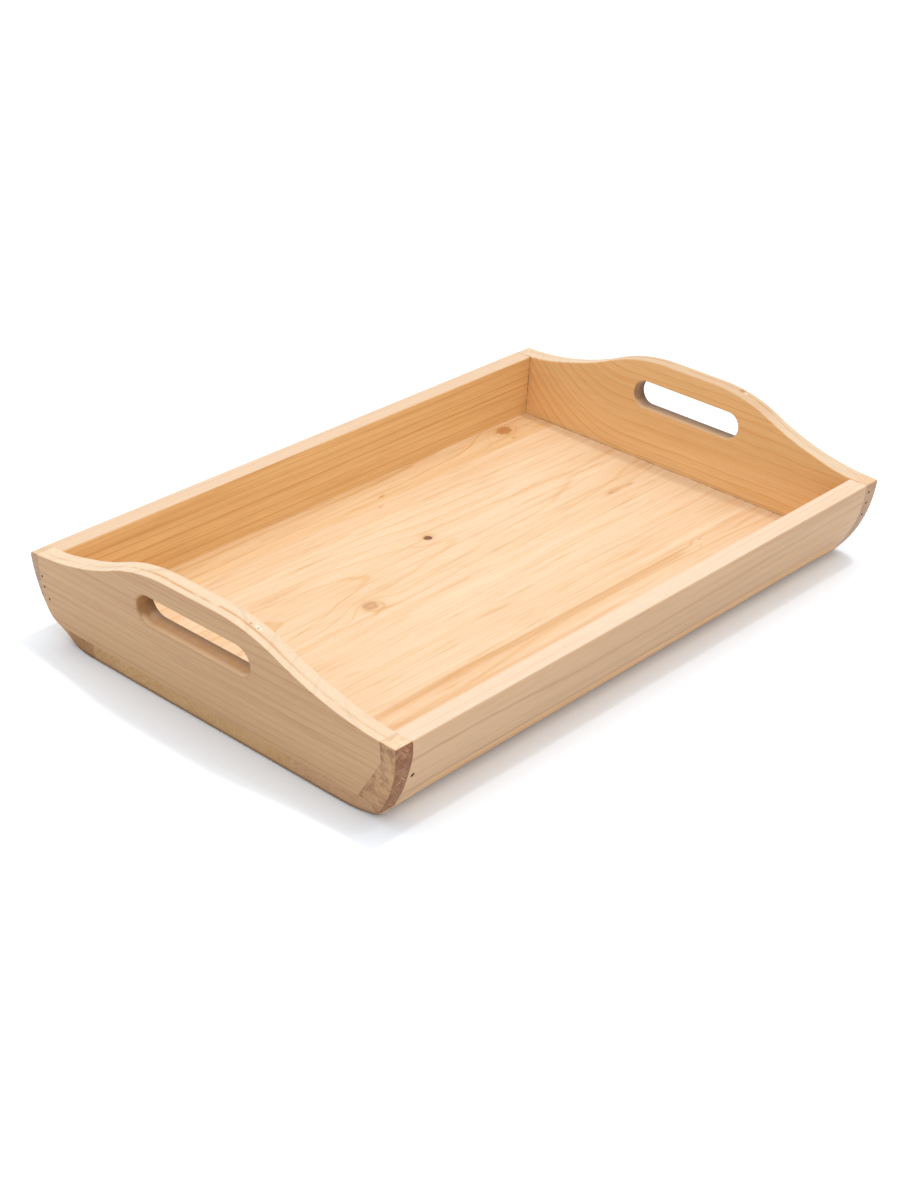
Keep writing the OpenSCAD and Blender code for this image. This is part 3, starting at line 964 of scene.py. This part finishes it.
looks = {
    "base_board_front": floor_wood(
        "pine_base_front", pith=(-100, -50), spacing=4.4, seed=1.3, contrast=0.9, wave=3.0,
        early=(0.76, 0.54, 0.35), warm=(0.55, 0.28, 0.085), end_tint=(0.68, 0.59, 0.5),
        # Painted shade: the front board's side that looks out is darker and more orange
        inner=[((0, -1), (0.81, 0.51, 0.26), (0.63, 0.34, 0.13))],
        streaks=[(-76.8, 3.0, -175, 124, 0.7, 2.2), (-74.4, 0.8, -120, 134, 0.8, 1.0),
                 (-91, 1.4, -190, 40, 0.4, 2.0)],
        marks=[(133, -73.2, 3.4, 0.9, 0.35, AMBER, 0.6), (142, -73.3, 1.2, 0.9, 0, TAN, 0.7),
               (134.5, -80.1, 2.0, 0.8, 0.2, AMBER, 0.65), (-168, -108, 0.9, 0.7, 0, TAN, 0.7)]),
    "base_board_centre": floor_wood(
        "pine_base_centre", pith=(-260, 6), spacing=2.6, seed=2.1, contrast=0.7, wave=2.2),
    "base_board_wide": floor_wood(
        "pine_base_wide", pith=(42, -38), spacing=4.1, seed=3.7, contrast=0.95, wave=5.0,
        slope=0.035,
        streaks=[(51, 2.2, 172, 215, 0.6, 1.5), (38.4, 0.7, 126, 151, 0.95, 0.5),
                 (44, 1.0, 140, 190, 0.6, 1.0), (33, 1.2, -60, 150, 0.35, 2.0),
                 (26, 0.8, -200, -80, 0.4, 2.0), (20, 0.9, 90, 215, 0.4, 1.5)],
        marks=[(154, 9.5, 6.5, 1.9, 0.1, TAN, 1.0), (172.3, 8.8, 4.0, 1.1, 0.1, TAN, 1.0),
               (163, 9.4, 9.0, 2.2, 0.05, TAN, 0.6), (24.8, 102.6, 2.4, 0.9, 0.12, TAN, 1.0)],
        knots=[(15, 50.7, 2.75, 2.4, 1.6, (0.2, 0.075, 0.03), 0.5, 0.9, 0.13),
               (-74.8, 14.7, 4.5, 3.8, 2.4, (0.58, 0.32, 0.165), 0.6, 1.2, 0.4)],
        ends=[(100, 108, (0.68, 0.6, 0.56)), (79, 100, (0.95, 0.92, 0.9))]),
    "base_board_back": floor_wood(
        "pine_base_back", pith=(140, -45), spacing=4.6, seed=4.4, contrast=0.9, wave=4.0,
        early=(0.74, 0.52, 0.305), late=(0.625, 0.35, 0.125), blond=0.2,
        marks=[(36.1, 112.7, 3.2, 1.0, 0.15, AMBER, 1.0), (170.6, 112.3, 1.5, 1.2, 0, AMBER, 1.0)],
        knots=[(174.4, 125, 5.6, 4.6, 3.4, (0.5, 0.21, 0.07), 0.6, 1.8, 0.45)],
        ends=[(100, 123, (0.68, 0.6, 0.56))]),
    "front_side_wall": wood(
        "pine_wall_front", pith=(-60, 30), spacing=4.8, seed=5.2, early=(0.61, 0.4, 0.235),
        late=(0.44, 0.24, 0.11), contrast=0.95, crisp=0.9, wave=3.0, stria=0.2,
        # Painted highlight on the top edge, and painted bounce light on the face inside the tray
        pale_top=(0.74, 0.56, 0.405), inner=[((0, 1), *INSIDE_BOUNCE)], warm=(0.62, 0.36, 0.15),
        streaks=[(-141.5, 0.45, 70, 212, 0.6, 1.2), (-146.8, 0.35, 100, 212, 0.6, 0.8),
                 (-144, 0.5, -212, -60, 0.35, 1.5)]),
    "back_side_wall": wood(
        "pine_wall_back", pith=(60, -80), spacing=4.6, seed=6.9, early=(0.62, 0.42, 0.26),
        late=(0.48, 0.275, 0.135), contrast=1.0, crisp=0.9, wave=1.6, stria=0.25,
        # Painted highlight on the top edge, and painted bounce light on the face inside the tray
        pale_top=(0.665, 0.48, 0.325), inner=[((0, -1), (0.84, 0.54, 0.24), (0.58, 0.27, 0.07))],
        grime=[(LEAN_T, WALL_END - 1.0, WALL_END - 0.3, 0.8)]),
    "left_end_wall": end_wood(
        "pine_end_left", -1, pith=(-120, -170), seed=7.7, contrast=1.1, crisp=1.0, wave=5.0,
        # Painted highlight on the crest's top, painted bounce light on the face inside, painted shade
        # and lip highlight in the slot
        early=(0.54, 0.338, 0.178), late=(0.4, 0.2, 0.085), pale_top=(0.71, 0.55, 0.38),
        inner=[((1, 0), *INSIDE_BOUNCE)],
        bore=("left", OUTER_C + 1.5, OUTER_C + END_T, (0.47, 0.235, 0.08)),
        # Pale grey spots with a dark one between them, and a resin spot, on the crest top
        chips=[(-221, -41, 81.9, 0.9, PALE_SPOT), (-221, -43.6, 81.4, 0.8, PALE_SPOT),
               (-221.4, -42.3, 81.6, 0.5, (0.2, 0.15, 0.1)), (-222, -37, 82.6, 0.9, AMBER)]),
    "right_end_wall": end_wood(
        "pine_end_right", 1, pith=(-60, -150), seed=8.3, contrast=0.95, crisp=0.8, wave=6.0,
        # Painted highlight on the crest's top, and painted bounce light on the face inside
        early=(0.61, 0.4, 0.24), late=(0.42, 0.235, 0.11), pale_top=(0.71, 0.535, 0.36),
        inner=[((-1, 0), (0.82, 0.525, 0.245), (0.69, 0.33, 0.09))],
        # Painted shade and lip highlight in the slot; foot paints light low on the wall and shade
        # near the top
        bore=("right", OUTER_C + END_T, OUTER_C + 1, SLOT_SCORCH_AND_SHADE), rise=(50, 0.0063), foot=0.07,
        crown=0.65, chips=[(225.1, -39.6, 83, 1.9, (0.36, 0.15, 0.05)),
                           (224, -43.3, 82.5, 1.1, (0.8, 0.6, 0.4))]),
    "front_left_post": post_wood(
        "post_front_left", -1, pith=(40, -40), seed=9.1, contrast=0.3, figure=0.9, chevron=0.9,
        early=(0.515, 0.31, 0.15), late=(0.29, 0.135, 0.062), warm=(0.25, 0.1, 0.05),
        # Painted highlight on the top; the dark front is the end grain's own colour, the face inside
        # has painted bounce light
        pale_top=(0.82, 0.575, 0.375),
        inner=[((0, -1), (0.25, 0.083, 0.029), (0.17, 0.052, 0.018)), ((1, 0), *POST_INSIDE_BOUNCE)]),
    "front_right_post": post_wood(
        "post_front_right", 1, pith=(70, -200), seed=10.8, figure=0.4,
        # Painted highlight on the top; the face inside has painted bounce light
        early=(0.48, 0.31, 0.19), warm=(0.32, 0.16, 0.085), pale_top=(0.71, 0.49, 0.3),
        inner=[((0, -1), (0.5, 0.32, 0.195), (0.36, 0.2, 0.11)), ((-1, 0), *POST_INSIDE_BOUNCE)]),
    "back_left_post": post_wood(
        "post_back_left", -1, pith=(40, -200), seed=9.9,
        # Painted highlight on the top
        early=(0.47, 0.31, 0.19), late=(0.32, 0.19, 0.11), pale_top=(0.68, 0.48, 0.3)),
    "back_right_post": post_wood(
        "post_back_right", 1, pith=(70, -40), seed=11.6,
        # Painted highlight on the top
        early=(0.5, 0.33, 0.21), late=(0.34, 0.2, 0.12), pale_top=(0.7, 0.53, 0.36)),
}

slots = {"base_board": "base_pine", "side_wall": "side_pine", "end_wall": "end_pine",
         "post": "post_wood"}
for node, obj in pieces.items():
    obj.data.materials.append(looks[node])

# Holes over the brads, with dark walls where the iron has stained the wood
hole_wood = wood("stained_hole", early=(0.22, 0.11, 0.055), late=(0.14, 0.06, 0.03))
turn = math.radians(25)
drill(pieces["front_side_wall"], OPEN_HOLE, ("front_left_brad", (-math.sin(turn), math.cos(turn), 0)))
drill(pieces["front_right_post"], NAIL_HOLE, ("front_right_brads", (0, 1, 0)))
drill(pieces["left_end_wall"], TIGHT_HOLE, ("back_left_brads", (1, 0, 0)))
drill(pieces["right_end_wall"], TIGHT_HOLE, ("back_right_brads", (-1, 0, 0)))
for name in base_names:
    drill(pieces[name], OPEN_HOLE, ("left_base_brads", (0, 0, 1)),
          ("right_base_brads", (0, 0, 1)))

for node, obj in pieces.items():
    crease(obj.data)
    normals = obj.modifiers.new("normals", "WEIGHTED_NORMAL")
    normals.weight, normals.keep_sharp = 90, True
    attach(obj, "root")
    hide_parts(node)
    next(s for key, s in slots.items() if key in node)


def tarnished_steel():
    """Dull steel with dark, uneven tarnish."""
    mat, tree, shader = new_material("steel_brad")
    x, y, z = (v * MM for v in parts_of(tree, "ShaderNodeTexCoord", "Object"))
    spots = noise(x / 0.7, y / 0.7, z / 0.7, 3.0, 0.6)
    skin = mixed(spots.ramp(0.35, 0.7), (0.13, 0.09, 0.065), (0.05, 0.033, 0.025))
    feed_all(shader, {"Base Color": skin, "Roughness": spots * 0.3 + 0.35, "Metallic": 0.5})
    return mat


steel = tarnished_steel()
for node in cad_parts:
    if "brad" in node:
        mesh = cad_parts[node].data
        mesh.materials.clear()
        mesh.materials.append(steel)


# ---------------------------------------------------------------- floor, light and camera
def studio_floor(reach=14, height=-0.0004):
    """A pale, dull floor just below the tray that reaches so many metres each way."""
    mat, _, shader = new_material("studio_floor")
    feed_all(shader, {"Base Color": (0.855, 0.903, 0.955), "Roughness": 0.9,
                      "Specular IOR Level": 0.1, "Emission Color": (0.75, 0.9, 1),
                      "Emission Strength": 0.01})
    mesh = bpy.data.meshes.new("studio_floor")
    corners = [(-reach, -reach), (reach, -reach), (reach, reach), (-reach, reach)]
    mesh.from_pydata([(*p, height) for p in corners], [], [(0, 1, 2, 3)])
    mesh.materials.append(mat)
    return add_object("studio_floor", mesh)


def studio_sky():
    """White all round, a little brighter overhead."""
    world = bpy.data.worlds.new("studio")
    world.use_nodes = True
    bpy.context.scene.world = world
    tree = world.node_tree
    level = parts_of(tree, "ShaderNodeTexCoord", "Generated")[2].ramp(0.05, 0.5, 0.9, 0.94)
    feed_all(tree.nodes["Background"], {"Color": point(level, level, level), "Strength": 1.0})


def softbox(place, size, power):
    """A soft square light aimed at the tray."""
    light = bpy.data.lights.new("softbox", "AREA")
    light.shape, light.size, light.size_y, light.energy = "RECTANGLE", size, size, power
    holder = add_object("softbox", light)
    holder.location = place
    holder.rotation_euler = (-holder.location).to_track_quat("-Z", "Y").to_euler()


def sun(name, aim, power, spread_deg):
    """A far light along aim, whose shadows blur by its spread."""
    light = bpy.data.lights.new(name, "SUN")
    light.energy, light.angle = power, math.radians(spread_deg)
    holder = add_object(name, light)
    holder.rotation_euler = Vector(aim).to_track_quat("-Z", "Y").to_euler()


def camera(azimuth, elevation, roll, distance, aside, down, lens):
    """Looks at the middle of the tray from so many metres away, then stands aside and down."""
    az, el, roll = math.radians(azimuth), math.radians(elevation), math.radians(roll)
    back = Vector((math.sin(az) * math.cos(el), -math.cos(az) * math.cos(el), math.sin(el)))
    right = Vector((0, 0, 1)).cross(back).normalized()
    up = back.cross(right)
    across = right * math.cos(roll) + up * math.sin(roll)
    upward = up * math.cos(roll) - right * math.sin(roll)
    turned = Matrix((across, upward, back)).transposed().to_4x4()
    spot = Vector((0, 0, 0.030)) + back * distance - across * aside - upward * down
    data = bpy.data.cameras.new("camera")
    data.lens, data.sensor_width = lens, 36
    eye = add_object("camera", data)
    eye.matrix_world = Matrix.Translation(spot) @ turned
    bpy.context.scene.camera = eye


studio_floor()
studio_sky()
softbox((0.2, 0.3, 2.1), 2.4, 22)
sun("key", (-0.28, 0.02, -1), 0.5, 3.6)
sun("side", (-0.24, 0.35, -1), 0.2, 6.0)
camera(azimuth=-48.62, elevation=29.486, roll=2.234, distance=1.36321, aside=0.013559,
       down=0.030981, lens=65.303)
bpy.context.scene.view_settings.view_transform = "Standard"
